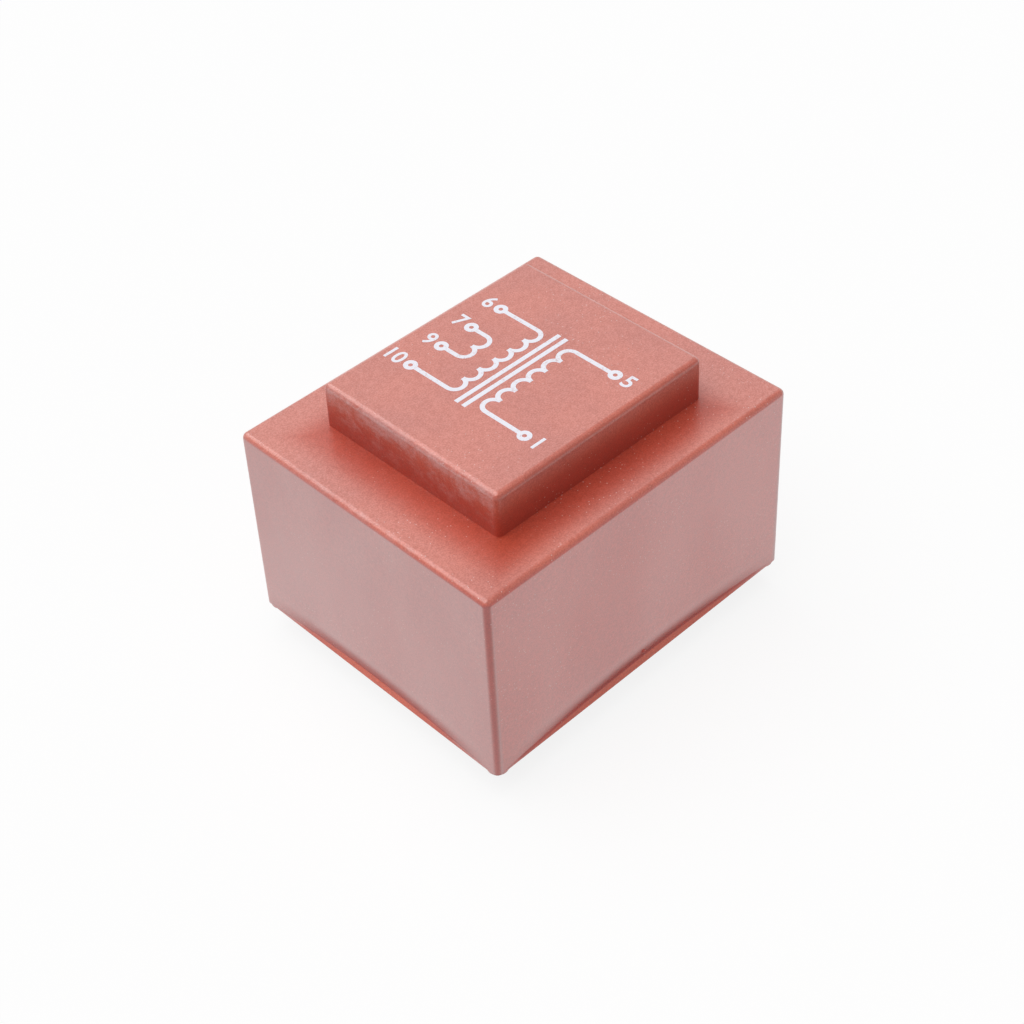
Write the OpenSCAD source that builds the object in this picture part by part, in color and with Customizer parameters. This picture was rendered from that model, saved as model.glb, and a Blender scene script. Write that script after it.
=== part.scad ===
// Encapsulated mains transformer for a printed circuit board, in millimetres.
// A stepped moulded case, open underneath, is potted over an EI core whose coil stands
// up into the raised part of the roof. Six round pins pass the potting and the board.
// Origin: centre of the footprint, on the seating plane. +X runs along the long side,
// +Y points to the secondary pins and +Z up.

/* [Core] */
// Width of the centre leg of a lamination
leg_w = 16; // [14:0.5:18]
// Width of each winding window
window_w = 8; // [7.5:0.25:10]
// Length of each winding window, along the legs
window_l = 24; // [21:0.5:26]
// Width of the outer legs and the yokes
yoke_w = 8; // [7:0.25:10]
// Thickness of one lamination
plate_t = 0.48; // [0.4:0.01:0.6]
// Varnish gap between two laminations
plate_gap = 0.03; // [0.02:0.01:0.05]
// Number of laminations in the stack
plate_count = 33; // [28:1:38]
// Height of the core above the seating plane
core_lift = 10.3; // [9.5:0.1:14]

/* [Coil former] */
// Wall of the tube round the centre leg
former_wall = 0.8; // [0.6:0.05:1]
// Gap between the centre leg and the tube
former_gap = 0.2; // [0.1:0.05:0.3]
// Outer corner radius of the tube
former_r = 1; // [0.6:0.1:1.4]
// Thickness of each end flange
flange_t = 0.8; // [0.6:0.1:1.2]
// Thickness of the partition between the two chambers
partition_t = 0.8; // [0.6:0.1:1.6]
// Gap between an end flange and the yoke
flange_gap = 0.15; // [0.1:0.05:0.3]
// Gap between the flanges and the outer legs
coil_clear = 0.3; // [0.2:0.05:0.5]
// Reach of the flanges above and below the core
coil_reach = 6.2; // [5.9:0.1:7]
// Corner radius of the flanges
flange_r = 1.5; // [0.5:0.25:2.5]
// Height of the two pin rails
rail_h = 5.5; // [4.5:0.25:6]
// Gap between the core and the pin rails
rail_gap = 0.3; // [0.2:0.05:0.5]
// Rail beyond the row of pins
rail_edge = 2.3; // [1.5:0.1:3]
// Rail beyond the last pin of the row
rail_end = 2.5; // [1.5:0.1:4]
// Width of the slots that lead the wires out
slot_w = 1; // [0.8:0.05:1.1]

/* [Windings] */
// Radial build of all the layers in a chamber
winding_build = 4.9; // [4:0.1:5]
// Radial build of the inner secondary
inner_build = 2.6; // [1.6:0.1:2.8]
// Thickness of the tape over and between windings
tape_t = 0.15; // [0.05:0.05:0.2]
// Diameter of the primary lead-out wires
primary_wire_d = 0.36; // [0.2:0.02:0.5]
// Diameter of the secondary lead-out wires
secondary_wire_d = 0.6; // [0.4:0.05:0.7]
// Depth of the lead-out wires below a winding's surface
lead_depth = 0.6; // [0.4:0.05:0.8]

/* [Pins] */
// Diameter of the round pins
pin_d = 1; // [0.8:0.05:1.05]
// Diameter of a pin's root, cast in the potting
root_d = 1.2; // [1.15:0.05:1.3]
// Root left standing out of the potting
root_drop = 0.3; // [0.1:0.05:0.5]
// Pin length below the seating plane
pin_reach = 4; // [3:0.25:6]
// Pin length held in the rail
pin_embed = 4; // [2.5:0.25:4.25]
// Height of the tapered pin tips
tip_h = 0.5; // [0.2:0.1:1]
// Diameter of the end of a pin tip
tip_d = 0.6; // [0.3:0.05:0.7]
// Grid pitch of the pins along a row
pin_pitch = 5; // [4.75:0.25:5.25]
// Distance between the two rows
row_spacing = 30; // [29:0.5:33]
// Height of a solder joint under the rail
solder_h = 1.5; // [1.3:0.1:1.8]
// Diameter of a solder joint
solder_d = 2.6; // [2.5:0.1:3.2]

/* [Case] */
// Wall of the case
wall = 1.1; // [0.8:0.1:1.6]
// Thickness of the roof
roof_t = 1.2; // [0.8:0.1:2]
// Gap between the core and the case walls at the rim
core_clear = 0.4; // [0.3:0.05:0.8]
// Gap between the core or coil and the roof
headroom = 0.3; // [0.2:0.05:0.8]
// Radius of the inner corners
inner_r = 0.3; // [0.2:0.05:0.5]
// Gap between the flanges and the raised roof's long walls
plateau_clear = 0.2; // [0.15:0.05:0.5]
// Gap between the winding window and the raised roof's end walls
plateau_end = 1.7; // [0.5:0.1:3]
// Draft angle of all outer and inner walls
draft = 0.5; // [0.1:0.1:0.5]
// Radius of the upright corners
corner_r = 0.6; // [0.6:0.1:2]
// Radius of the upright corners of the raised part
plateau_r = 0.5; // [0.5:0.1:2]
// Radius of the roof edges
edge_r = 0.5; // [0.2:0.1:0.6]

/* [Skirt] */
// Height of the rim above the seating plane
rim_z = 0.3; // [0.2:0.05:0.6]
// Plan radius of the four corner feet
foot_r = 1.35; // [1.2:0.05:2.5]
// Height of the square edge of the lip
lip_edge = 0.15; // [0.1:0.05:0.3]
// Height of the lip's slope at mid-length
lip_rise = 0.9; // [0.4:0.05:1.2]
// Depth that the long walls are drawn in above the lip
bow_long = 0.45; // [0.2:0.05:0.6]
// Depth that the short walls are drawn in above the lip
bow_short = 0.3; // [0.1:0.05:0.5]
// Height over which the drawn-in walls come back to true
bow_fade = 3.5; // [2:0.25:6]
// Depth of the potting's surface inside the rim
potting_recess = 1; // [0.6:0.1:1.4]

/* [Hidden] */
$fn = 48;

CASE_RED = "#b0483a";
POTTING_BLACK = "#232221";
CORE_STEEL = "#7c8085";
FORMER_BLACK = "#3a3d42";
COPPER = "#b5652d";
TAPE_YELLOW = "#d8b53a";
TIN = "#c9ccd1";

// What is left of the lip's slope where it runs out at the corners
lip_runout = 0.12;
// Distance that a foot stays inside the faces of the wall over it
foot_inset = 0.05;
// Distance by which joined solids run into each other
bite = 0.1;
// Distance by which a cut runs out past the faces it opens
cut = 1;
// Stretch of a lead-out wire inside its winding
lead_start = 0.3;
// Gap between a lead-out wire and the end of its slot
slot_gap = 0.05;
// Depth that a wire wrapped round a pin is flattened against it
wrap_bite = 0.04;
// Swelling of a wire at a bend
bend_swell = 1.05;

// Core
core_l = leg_w + 2 * (window_w + yoke_w);
core_w = window_l + 2 * yoke_w;
plate_pitch = plate_t + plate_gap;
stack_h = plate_count * plate_pitch - plate_gap;
core_mid = core_lift + stack_h / 2;
core_top = core_lift + stack_h;

// Pitches from the first pin of a row to the last
row_pitches = 4;

// Coil former
tube_x = leg_w + 2 * (former_gap + former_wall);
tube_z = stack_h + 2 * (former_gap + former_wall);
flange_x = leg_w + 2 * (window_w - coil_clear);
flange_z = stack_h + 2 * coil_reach;
flange_y = window_l / 2 - flange_gap;
chamber_y = flange_y - flange_t;
rail_z = core_lift - rail_gap - rail_h;
rail_y = row_spacing / 2 + rail_edge;
rail_l = row_pitches * pin_pitch + 2 * rail_end;
// End of the slots, just short of the pins
slot_y = row_spacing / 2 - root_d / 2 - bite;
wrap_z = rail_z - solder_h / 2;

// Case
case_l = core_l + 2 * (core_clear + wall);
case_w = core_w + 2 * (core_clear + wall);
plateau_l = flange_x + 2 * (plateau_clear + wall);
plateau_w = window_l + 2 * (plateau_end + wall);
ledge_z = core_top + headroom + roof_t;
top_z = ledge_z + coil_reach;
taper = tan(draft);
potting_z = rim_z + potting_recess;
root_z = potting_z - root_drop;

// Steps along a side and round a corner of a case outline
side_steps = 10;
corner_steps = 3;
// Angle of each step round a roof edge, in degrees
edge_turn = 30;
// Smallest radius that an outline's corner keeps
corner_left = 0.1;
// Fractions of the bow's fade, from the lip's slope up
fade_steps = [0, 0.2, 0.45, 0.7, 1];

// Pins: number, place along the row in pitches, and side of the part
PINS = [[1, -2, -1], [5, 2, -1], [6, 2, 1], [7, 1, 1], [9, -1, 1], [10, -2, 1]];

function pin_xy(pin) = [pin[1] * pin_pitch, pin[2] * row_spacing / 2];
function pin_numbered(n) = [for (pin = PINS) if (pin[0] == n) pin][0];

// ---- Case outlines: closed rings of points, level by level ----

function turned(p, quarter) =
    quarter == 0 ? p : turned([-p.y, p.x, p.z], quarter - 1);

// One side, then the corner at its end. The side is drawn in by bow and lifted by lift
// at mid-length, and true at its ends.
function side_and_corner(length, across, r, z, bow, lift) = concat(
    [for (i = [0 : side_steps - 1])
        let (s = 2 * i / side_steps - 1, arch = 1 - s * s)
        [s * (length / 2 - r), -across / 2 + arch * (bow + lift * taper), z + arch * lift]],
    [for (j = [0 : corner_steps - 1])
        let (a = 90 * j / corner_steps - 90)
        [length / 2 - r + r * cos(a), -across / 2 + r + r * sin(a), z]]);

function outline(length, width, r, z, bow = [0, 0], lift = [0, 0]) =
    [for (quarter = [0 : 3])
        let (even = quarter % 2 == 0)
        each [for (p = side_and_corner(even ? length : width, even ? width : length, r, z,
                                       bow[quarter % 2], lift[quarter % 2]))
            turned(p, quarter)]];

// Outline of the main walls at a height, set in from the outer face
function wall_outline(z, inset, r, bow = [0, 0], lift = [0, 0]) =
    let (in = 2 * (inset + (z - rim_z) * taper))
    outline(case_l - in, case_w - in, r, z, bow, lift);

// The lip, its slope and the fade of the bow, from the rim up
function skirt_outlines(inset, r) = concat(
    [wall_outline(rim_z, inset, r), wall_outline(rim_z + lip_edge, inset, r)],
    [for (f = fade_steps)
        let (left = (1 - f) * (1 - f), rise = lip_rise - lip_runout,
             z = rim_z + lip_edge + lip_runout + f * bow_fade)
        wall_outline(z, inset, r, [bow_long, bow_short] * left,
                     [rise, rise * bow_short / bow_long])]);

// A rounded roof edge, from the wall up to the flat
function edge_outlines(length, width, r, z) =
    [for (a = [0 : edge_turn : 90])
        let (in = 2 * edge_r * (1 - cos(a)))
        outline(length - in, width - in, max(r - in / 2, corner_left), z - edge_r * (1 - sin(a)))];

function outer_outlines() =
    let (in = 2 * (ledge_z - rim_z) * taper, rise_in = 2 * coil_reach * taper)
    concat(skirt_outlines(0, corner_r),
           edge_outlines(case_l - in, case_w - in, corner_r, ledge_z),
           [outline(plateau_l, plateau_w, plateau_r, ledge_z)],
           edge_outlines(plateau_l - rise_in, plateau_w - rise_in, plateau_r, top_z));

function inner_outlines() =
    let (z = ledge_z - roof_t, rise_in = 2 * coil_reach * taper)
    concat(skirt_outlines(wall, inner_r),
           [wall_outline(z, wall, inner_r),
            outline(plateau_l - 2 * wall, plateau_w - 2 * wall, inner_r, z),
            outline(plateau_l - 2 * wall - rise_in, plateau_w - 2 * wall - rise_in, inner_r,
                    top_z - roof_t)]);

function reversed(list) = [for (i = [len(list) - 1 : -1 : 0]) list[i]];

// Closed skin through a list of outlines, with a flat fan of faces at each end
module skin(outlines) {
    n = len(outlines[0]);
    last = len(outlines) - 1;
    first_hub = (last + 1) * n;
    last_hub = first_hub + 1;
    polyhedron(
        points = concat([for (ring = outlines) each ring],
                        [[0, 0, outlines[0][0].z], [0, 0, outlines[last][0].z]]),
        faces = concat(
            [for (i = [0 : n - 1]) [first_hub, i, (i + 1) % n]],
            [for (k = [0 : last - 1], i = [0 : n - 1])
                each [[k * n + i, (k + 1) * n + i, k * n + (i + 1) % n],
                      [(k + 1) * n + i, (k + 1) * n + (i + 1) % n, k * n + (i + 1) % n]]],
            [for (i = [0 : n - 1]) [last_hub, last * n + (i + 1) % n, last * n + i]]));
}

module case() {
    color(CASE_RED) {
        skin(concat(reversed(inner_outlines()), outer_outlines()));
        feet();
    }
}

// Low pads under the corners of the rim, which keep it off the board
module feet() {
    inner_l = case_l - 2 * wall + 2 * foot_inset;
    inner_w = case_w - 2 * wall + 2 * foot_inset;
    for (sx = [-1, 1], sy = [-1, 1])
        difference() {
            translate([sx * (case_l / 2 - foot_inset - foot_r),
                       sy * (case_w / 2 - foot_inset - foot_r), 0])
                cylinder(r = foot_r, h = rim_z + bite);
            translate([-inner_l / 2, -inner_w / 2, -cut])
                cube([inner_l, inner_w, rim_z + 2 * cut]);
        }
}

module potting() {
    color(POTTING_BLACK)
    difference() {
        skin(inner_outlines());
        translate([-case_l / 2, -case_w / 2, -cut])
            cube([case_l, case_w, potting_z + cut]);
        core_block();
        upright(-flange_y, flange_y) rounded_rect(tube_x, tube_z, former_r);
        upright(-chamber_y, chamber_y) winding_outline(winding_build + tape_t);
        former_body();
        leads();
        for (pin = PINS) {
            solder_body(pin);
            pin_body(pin);
        }
    }
}

// ---- Core ----

// The two winding windows, run out past the open end of an E
module windows(run_out = 0) {
    for (side = [-1, 1])
        translate([side * (leg_w + window_w) / 2 - window_w / 2, -window_l / 2])
            square([window_w, window_l + run_out]);
}

module e_outline() {
    difference() {
        translate([-core_l / 2, -core_w / 2])
            square([core_l, core_w - yoke_w]);
        windows(cut);
    }
}

// A stack of laminations, every second one turned end for end
module plates() {
    for (i = [0 : plate_count - 1])
        translate([0, 0, core_lift + i * plate_pitch])
            mirror([0, i % 2, 0])
                linear_extrude(plate_t)
                    children();
}

module e_laminations() {
    color(CORE_STEEL) plates() e_outline();
}

module i_laminations() {
    color(CORE_STEEL)
        plates()
            translate([-core_l / 2, window_l / 2])
                square([core_l, yoke_w]);
}

module core_block() {
    translate([0, 0, core_lift])
        linear_extrude(stack_h)
            difference() {
                translate([-core_l / 2, -core_w / 2])
                    square([core_l, core_w]);
                windows();
            }
}

// ---- Coil ----

module rounded_rect(length, height, r) {
    translate([-length / 2 + r, -height / 2]) square([length - 2 * r, height]);
    translate([-length / 2, -height / 2 + r]) square([length, height - 2 * r]);
    for (sx = [-1, 1], sz = [-1, 1])
        translate([sx * (length / 2 - r), sz * (height / 2 - r)]) circle(r = r);
}

// Stands a flat X-Z outline up, centred on the core, from y0 to y1
module upright(y0, y1) {
    translate([0, y1, core_mid])
        rotate([90, 0, 0])
            linear_extrude(y1 - y0)
                children();
}

module winding_outline(build) {
    rounded_rect(tube_x + 2 * build, tube_z + 2 * build, former_r + build);
}

// A layer of a winding, between two radial builds
module layer(y0, y1, from, to) {
    upright(y0, y1)
        difference() {
            winding_outline(to);
            winding_outline(from);
        }
}

// Flange or partition of the former, across the coil
module former_disc(y0, y1) {
    upright(y0, y1) rounded_rect(flange_x, flange_z, flange_r);
}

module pin_rail(side) {
    mirror([0, side < 0 ? 1 : 0, 0])
        translate([-rail_l / 2, chamber_y, rail_z])
            cube([rail_l, rail_y - chamber_y, rail_h]);
}

// Slot from the foot of a rail and flange up to a lead-out wire
module lead_slot(pin) {
    top = lead_z(pin) + slot_w / 2;
    bottom = core_mid - flange_z / 2 - cut;
    mirror([0, pin[2] < 0 ? 1 : 0, 0])
        translate([pin_xy(pin).x - slot_w / 2, chamber_y - bite, bottom])
            cube([slot_w, slot_y - chamber_y + bite, top - bottom]);
}

module former_body() {
    difference() {
        union() {
            upright(-flange_y, flange_y) rounded_rect(tube_x, tube_z, former_r);
            former_disc(-flange_y, -chamber_y);
            former_disc(-partition_t / 2, partition_t / 2);
            former_disc(chamber_y, flange_y);
            for (side = [-1, 1]) pin_rail(side);
        }
        for (pin = PINS) lead_slot(pin);
    }
}

module coil_former() {
    color(FORMER_BLACK)
    difference() {
        former_body();
        upright(-flange_y - cut, flange_y + cut)
            square([leg_w + 2 * former_gap, stack_h + 2 * former_gap], center = true);
        for (pin = PINS)
            translate([pin_xy(pin).x, pin_xy(pin).y, rail_z - cut])
                cylinder(d = root_d, h = pin_embed + cut);
    }
}

// ---- Lead-out wires: along the slot, down its end and once round the pin ----

function wire_d(pin) = pin[2] < 0 ? primary_wire_d : secondary_wire_d;
function is_inner(pin) = pin[0] == 7 || pin[0] == 9;
function lead_build(pin) = is_inner(pin) ? inner_build : winding_build;
function lead_z(pin) = core_mid - tube_z / 2 - lead_build(pin) + lead_depth;
function wrap_r(pin) = (root_d + wire_d(pin)) / 2 - wrap_bite;
function turn_y(pin) = slot_y - wire_d(pin) / 2 - slot_gap;

module wire(from, to, d) {
    run = to - from;
    length = norm(run);
    translate(from)
        rotate([0, acos(run.z / length), atan2(run.y, run.x)])
            cylinder(d = d, h = length);
}

module lead(pin) {
    d = wire_d(pin);
    x = pin_xy(pin).x;
    points = [[x, chamber_y - lead_start, lead_z(pin)], [x, turn_y(pin), lead_z(pin)],
              [x, turn_y(pin), wrap_z], [x, row_spacing / 2 - wrap_r(pin), wrap_z]];
    difference() {
        union() {
            mirror([0, pin[2] < 0 ? 1 : 0, 0])
                for (i = [0 : 2]) {
                    wire(points[i], points[i + 1], d);
                    if (i > 0) translate(points[i]) sphere(d = d * bend_swell);
                }
            translate([x, pin_xy(pin).y, wrap_z])
                rotate_extrude()
                    translate([wrap_r(pin), 0])
                        circle(d = d);
        }
        pin_body(pin);
    }
}

module leads() {
    for (pin = PINS) lead(pin);
}

module leads_of(numbers) {
    for (n = numbers) lead(pin_numbered(n));
}

module primary_winding() {
    color(COPPER) {
        layer(-chamber_y, -partition_t / 2, 0, winding_build);
        leads_of([1, 5]);
    }
}

module inner_secondary() {
    color(COPPER) {
        layer(partition_t / 2, chamber_y, 0, inner_build);
        leads_of([7, 9]);
    }
}

module outer_secondary() {
    color(COPPER) {
        layer(partition_t / 2, chamber_y, inner_build + tape_t, winding_build);
        leads_of([6, 10]);
    }
}

module interlayer_tape() {
    color(TAPE_YELLOW)
        layer(partition_t / 2, chamber_y, inner_build, inner_build + tape_t);
}

module primary_tape() {
    color(TAPE_YELLOW)
        layer(-chamber_y, -partition_t / 2, winding_build, winding_build + tape_t);
}

module secondary_tape() {
    color(TAPE_YELLOW)
        layer(partition_t / 2, chamber_y, winding_build, winding_build + tape_t);
}

// ---- Pins ----

module pin_body(pin) {
    translate(pin_xy(pin)) {
        translate([0, 0, -pin_reach])
            cylinder(d1 = tip_d, d2 = pin_d, h = tip_h);
        translate([0, 0, tip_h - pin_reach])
            cylinder(d = pin_d, h = pin_reach - tip_h + root_z + bite);
        translate([0, 0, root_z])
            cylinder(d = root_d, h = rail_z + pin_embed - root_z);
    }
}

module numbered_pin(n) {
    color(TIN) pin_body(pin_numbered(n));
}

// Drop of solder round a pin and its wire, against the foot of the rail
module solder_body(pin) {
    translate([pin_xy(pin).x, pin_xy(pin).y, rail_z - solder_h / 2])
        intersection() {
            sphere(d = solder_d);
            cube([solder_d, solder_d, solder_h], center = true);
        }
}

module solder_joints() {
    color(TIN)
        for (pin = PINS)
            difference() {
                solder_body(pin);
                lead(pin);
                pin_body(pin);
            }
}

case();
potting();
e_laminations();
i_laminations();
coil_former();
primary_winding();
inner_secondary();
outer_secondary();
interlayer_tape();
primary_tape();
secondary_tape();
solder_joints();
numbered_pin(1);  // pin_1
numbered_pin(5);  // pin_5
numbered_pin(6);  // pin_6
numbered_pin(7);  // pin_7
numbered_pin(9);  // pin_9
numbered_pin(10);  // pin_10
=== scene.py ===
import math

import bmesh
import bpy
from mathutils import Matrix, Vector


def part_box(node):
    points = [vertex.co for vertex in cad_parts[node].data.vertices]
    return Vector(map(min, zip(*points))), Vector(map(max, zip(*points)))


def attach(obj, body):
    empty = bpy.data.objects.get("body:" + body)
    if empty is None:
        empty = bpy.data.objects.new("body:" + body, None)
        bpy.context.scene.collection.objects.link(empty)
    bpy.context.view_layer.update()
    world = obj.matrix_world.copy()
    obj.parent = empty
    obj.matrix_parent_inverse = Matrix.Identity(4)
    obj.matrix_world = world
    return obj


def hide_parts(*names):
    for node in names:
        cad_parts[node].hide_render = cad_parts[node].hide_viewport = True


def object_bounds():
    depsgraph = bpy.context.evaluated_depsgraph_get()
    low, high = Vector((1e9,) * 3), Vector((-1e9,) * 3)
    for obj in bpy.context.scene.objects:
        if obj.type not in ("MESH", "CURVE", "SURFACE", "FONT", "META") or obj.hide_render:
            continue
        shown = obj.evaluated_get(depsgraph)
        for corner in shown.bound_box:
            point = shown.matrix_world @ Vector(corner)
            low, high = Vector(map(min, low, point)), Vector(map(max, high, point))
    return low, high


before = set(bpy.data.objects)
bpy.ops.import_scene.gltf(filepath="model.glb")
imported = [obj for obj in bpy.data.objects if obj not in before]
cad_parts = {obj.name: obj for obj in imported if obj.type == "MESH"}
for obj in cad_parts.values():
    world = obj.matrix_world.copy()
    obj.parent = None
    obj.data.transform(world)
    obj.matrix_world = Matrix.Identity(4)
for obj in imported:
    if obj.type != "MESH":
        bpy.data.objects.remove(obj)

# %% [markdown]
# # An encapsulated transformer for a circuit board
# The part is a red moulded case that stands open side down, filled with black resin, with six
# tinned pins that leave the resin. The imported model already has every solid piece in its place.
# This lesson gives the visible pieces their real finish: a finer case, the printed winding diagram,
# the resin's surface round the pins, and a material for each piece, seen or unseen.

MM = 0.001
cad_low, cad_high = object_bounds()
print("CAD box in mm:", [round(c / MM, 2) for c in (*cad_low, *cad_high)])

# %% [markdown]
# ## The sizes that the case is built from
# The case is one thin shell: four drafted walls, a flat ledge, and a lower box on top of it that
# makes room for the coil. Its main sizes could be typed again here, but then two files would have to
# agree. They are measured on the CAD solid instead, so the finer shell always fits the same pieces.

# %% Measure the case
case_low, case_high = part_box("case")
case_points = [v.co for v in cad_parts["case"].data.vertices]
CORNER_ZONE = 3 * MM
HAIR = 0.01 * MM
crown_points = [p for p in case_points if p.z > case_high.z - HAIR]

case_l = case_high.x - case_low.x
case_w = case_high.y - case_low.y
ledge_z = max(p.z for p in case_points if p.x > case_high.x - CORNER_ZONE)
rim_z = 0.3 * MM
wall = 1.1 * MM
roof = 1.2 * MM
corner_r = 0.8 * MM
crown_r = 0.7 * MM
edge_r = 0.8 * MM
flat_inset = 0.5 * MM
taper = math.tan(math.radians(0.5))
ink_build = 0.02 * MM
crown_z = case_high.z - ink_build
crown_l = 2 * (max(p.x for p in crown_points) + flat_inset)
crown_w = 2 * (max(p.y for p in crown_points) + flat_inset)
crown_rise = case_high.z - ledge_z
print("case", [round(s / MM, 2) for s in (case_l, case_w, ledge_z, crown_l, crown_w, crown_rise)])

# %% [markdown]
# ## Outlines of the case
# Every level of the case is a rectangle with rounded corners. Near the open rim the thin walls have
# been drawn inwards as the resin set and shrank, and only a low arched lip has kept straight.
# Subdivision surfaces would blur those lines, so each level is worked out as a ring of points with
# the same count, and the rings are joined afterwards. A side is a shallow arch, a corner an arc.

# %% One ring of points
SIDE_STEPS = 40
CORNER_STEPS = 8


def quarter_outline(length, across, r, z, bow, lift):
    """A side and the corner after it: at its middle the side sinks in by bow and rises by lift."""
    points = []
    for i in range(SIDE_STEPS):
        s = 2 * i / SIDE_STEPS - 1
        arch = 1 - s * s
        sunk = arch * (bow + lift * taper)
        points.append((s * (length / 2 - r), sunk - across / 2, z + arch * lift))
    for j in range(CORNER_STEPS):
        a = math.radians(90 * j / CORNER_STEPS - 90)
        points.append((length / 2 - r + r * math.cos(a), r - across / 2 + r * math.sin(a), z))
    return points


def outline(length, width, r, z, bow=(0, 0), lift=(0, 0)):
    """The whole ring, made of four quarters, each turned by a right angle from the one before."""
    ring = []
    for quarter in range(4):
        odd = quarter % 2
        spans = (width, length) if odd else (length, width)
        for x, y, up in quarter_outline(*spans, r, z, bow[odd], lift[odd]):
            for _ in range(quarter):
                x, y = -y, x
            ring.append((x, y, up))
    return ring


# %% [markdown]
# ## From rim to crown
# The skin runs up the outside from the rim to the crown and comes down again inside, one wall
# thickness in. The sunken wall starts just above the lip and fades out a few millimetres higher.
# Edges that a mould leaves round are a few rings on an arc, because a bevel modifier would also
# round the crisp step at the lip.

# %% Levels of the outer and the inner skin
LIP_EDGE = 0.15 * MM
LIP_RISE = 0.9 * MM
LIP_RUNOUT = 0.12 * MM
BOW_LONG = 0.45 * MM
BOW_SHORT = 0.3 * MM
BOW_FADE = 3.5 * MM
FADE_STEPS = 14
FADE_CROWDING = 1.5
ROLL_STEPS = 6
LEAST_CORNER_R = 0.1 * MM


def wall_outline(z, inset, r, bow=(0, 0), lift=(0, 0)):
    """The walls' outline at a height, drafted and drawn in by inset."""
    drawn_in = 2 * (inset + (z - rim_z) * taper)
    return outline(case_l - drawn_in, case_w - drawn_in, r, z, bow, lift)


def skirt(inset, r):
    """The lip at the rim, then the sunken band that fades out above it."""
    rings = [wall_outline(rim_z, inset, r), wall_outline(rim_z + LIP_EDGE, inset, r)]
    rise = LIP_RISE - LIP_RUNOUT
    for step in range(FADE_STEPS + 1):
        f = (step / FADE_STEPS) ** FADE_CROWDING
        left = (1 - f) ** 2
        z = rim_z + LIP_EDGE + LIP_RUNOUT + f * BOW_FADE
        bow = (BOW_LONG * left, BOW_SHORT * left)
        rings.append(wall_outline(z, inset, r, bow, (rise, rise * BOW_SHORT / BOW_LONG)))
    return rings


def rolled_edge(length, width, r, z):
    """A rounded top edge, from the wall over to the flat."""
    rings = []
    for step in range(ROLL_STEPS + 1):
        a = math.radians(90 * step / ROLL_STEPS)
        drawn_in = 2 * edge_r * (1 - math.cos(a))
        turn_r = max(r - drawn_in / 2, LEAST_CORNER_R)
        level = z - edge_r * (1 - math.sin(a))
        rings.append(outline(length - drawn_in, width - drawn_in, turn_r, level))
    return rings


# %% [markdown]
# ## The moulded case
# Joining the rings gives one closed skin. Four small feet will stand under the corners, so that flux
# can be washed out from under the case, and a pip on one long wall shows where the plastic was let
# into the mould. Both are small solids that sink into the skin, as one mesh with it.

# %% Join the rings into a skin
ledge_in = 2 * (ledge_z - rim_z) * taper
foot_l = crown_l + 2 * crown_rise * taper
foot_w = crown_w + 2 * crown_rise * taper

outer = skirt(0, corner_r)
outer += rolled_edge(case_l - ledge_in, case_w - ledge_in, corner_r, ledge_z)
outer.append(outline(foot_l, foot_w, crown_r, ledge_z))
outer += rolled_edge(crown_l, crown_w, crown_r, crown_z)

inner_r = 0.3 * MM
inner = skirt(wall, inner_r) + [wall_outline(ledge_z - roof, wall, inner_r)]
for rise in (0, crown_rise):
    drawn_in = 2 * (wall + rise * taper)
    inner.append(outline(foot_l - drawn_in, foot_w - drawn_in, inner_r, ledge_z - roof + rise))


def add_skin(bm, rings):
    """Joins rings of equal count with quads, and closes both ends."""
    loops = [[bm.verts.new(point) for point in ring] for ring in rings]
    for below, above in zip(loops, loops[1:]):
        for i in range(len(below)):
            j = (i + 1) % len(below)
            bm.faces.new((below[i], below[j], above[j], above[i]))
    bm.faces.new(list(reversed(loops[0])))
    bm.faces.new(loops[-1])


case_bm = bmesh.new()
add_skin(case_bm, list(reversed(inner)) + outer)
print("rings:", len(inner) + len(outer), "of", len(outer[0]), "points")

# %% [markdown]
# ## Feet and gate pip
# A foot follows the case's corner from just inside its outline, and is a prism on a list of points.
# The pip is a small sphere, almost all of it inside the wall.

# %% Feet and gate pip
FOOT_R = 1.35 * MM
FOOT_INSET = 0.05 * MM
FOOT_STEPS = 24
FOOT_SINK = 0.1 * MM
PIP_R = 0.28 * MM
PIP_HEIGHT = 2.1 * MM
PIP_PROUD = 0.12 * MM


def add_prism(bm, corners, z0, z1):
    """A closed upright prism on a polygon."""
    floor_loop = [bm.verts.new((x, y, z0)) for x, y in corners]
    roof_loop = [bm.verts.new((x, y, z1)) for x, y in corners]
    for i in range(len(corners)):
        j = (i + 1) % len(corners)
        bm.faces.new((floor_loop[i], floor_loop[j], roof_loop[j], roof_loop[i]))
    bm.faces.new(list(reversed(floor_loop)))
    bm.faces.new(roof_loop)


reach = FOOT_R - wall + 2 * FOOT_INSET
start = -math.acos(reach / FOOT_R)
sweep = math.radians(90) - 2 * start
arc = [start + sweep * i / FOOT_STEPS for i in range(FOOT_STEPS + 1)]
for sx in (-1, 1):
    for sy in (-1, 1):
        cx = case_l / 2 - FOOT_INSET - FOOT_R
        cy = case_w / 2 - FOOT_INSET - FOOT_R
        pad = [(sx * (cx + FOOT_R * math.cos(a)), sy * (cy + FOOT_R * math.sin(a))) for a in arc]
        pad.append((sx * (cx + reach), sy * (cy + reach)))
        add_prism(case_bm, pad, case_low.z, rim_z + FOOT_SINK)

pip_y = -case_w / 2 + BOW_LONG + (PIP_HEIGHT - rim_z) * taper - PIP_PROUD
pip_place = Matrix.Translation((0, pip_y, PIP_HEIGHT)) @ Matrix.Diagonal((PIP_R, PIP_R, PIP_R, 1))
bmesh.ops.create_uvsphere(case_bm, u_segments=20, v_segments=12, radius=1, matrix=pip_place)
bmesh.ops.recalc_face_normals(case_bm, faces=case_bm.faces)


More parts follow.
